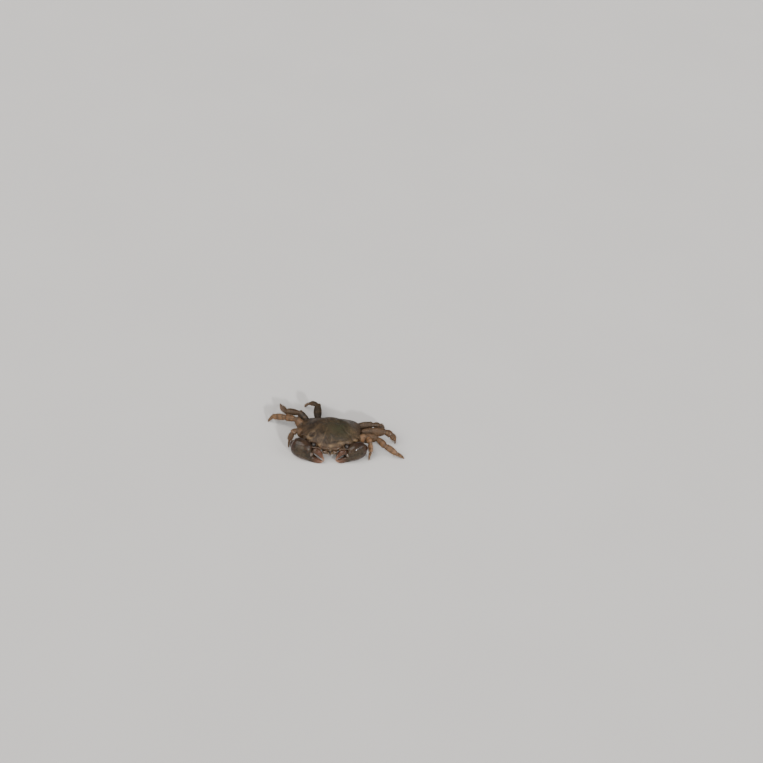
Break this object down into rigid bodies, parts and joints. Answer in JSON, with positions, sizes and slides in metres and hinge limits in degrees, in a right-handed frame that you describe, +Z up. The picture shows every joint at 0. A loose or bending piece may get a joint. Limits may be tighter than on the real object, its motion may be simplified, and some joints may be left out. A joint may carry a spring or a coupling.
{
  "type": "asian shore crab model",
  "caption": "Life-size still model of a small shore crab, squatting with its claws drawn in and its legs spread, resting on flat tips.",
  "frame": {"origin": "on the floor under the body, on the flat underside of the folded abdomen", "axes": "+Z up; -Y the way the crab faces; +X towards the crab's own left side"},
  "size_m": [0.0436, 0.0261, 0.0085],
  "materials": {
    "carapace": "wet dark olive-brown shell, mottled",
    "claw": "wet grey-brown shell, smooth",
    "finger": "wet, paling to a pinkish tan at the tips",
    "leg": "tan with darker bands, slightly translucent",
    "underside": "pale tan, satin",
    "eye": "near black, glossy",
    "feeler": "brown, satin"
  },
  "bodies": {
    "root": {"carapace": "carapace", "thorax": "underside", "abdomen": "underside", "maxilliped_left": "underside", "maxilliped_right": "underside", "eye_left_stalk": "leg", "eye_left_cornea": "eye", "eye_right_stalk": "leg", "eye_right_cornea": "eye", "antenna_left": "feeler", "antenna_right": "feeler", "antennule_left": "feeler", "antennule_right": "feeler", "claw_left_merus": "leg", "claw_left_carpus": "claw", "claw_left_palm": "claw", "claw_left_dactyl": "finger", "claw_right_merus": "leg", "claw_right_carpus": "claw", "claw_right_palm": "claw", "claw_right_dactyl": "finger", "leg1_left_merus": "leg", "leg1_left_carpus": "leg", "leg1_left_propodus": "leg", "leg1_left_dactyl": "leg", "leg2_left_merus": "leg", "leg2_left_carpus": "leg", "leg2_left_propodus": "leg", "leg2_left_dactyl": "leg", "leg3_left_merus": "leg", "leg3_left_carpus": "leg", "leg3_left_propodus": "leg", "leg3_left_dactyl": "leg", "leg4_left_merus": "leg", "leg4_left_carpus": "leg", "leg4_left_propodus": "leg", "leg4_left_dactyl": "leg", "leg1_right_merus": "leg", "leg1_right_carpus": "leg", "leg1_right_propodus": "leg", "leg1_right_dactyl": "leg", "leg2_right_merus": "leg", "leg2_right_carpus": "leg", "leg2_right_propodus": "leg", "leg2_right_dactyl": "leg", "leg3_right_merus": "leg", "leg3_right_carpus": "leg", "leg3_right_propodus": "leg", "leg3_right_dactyl": "leg", "leg4_right_merus": "leg", "leg4_right_carpus": "leg", "leg4_right_propodus": "leg", "leg4_right_dactyl": "leg"}
  },
  "joints": []
}
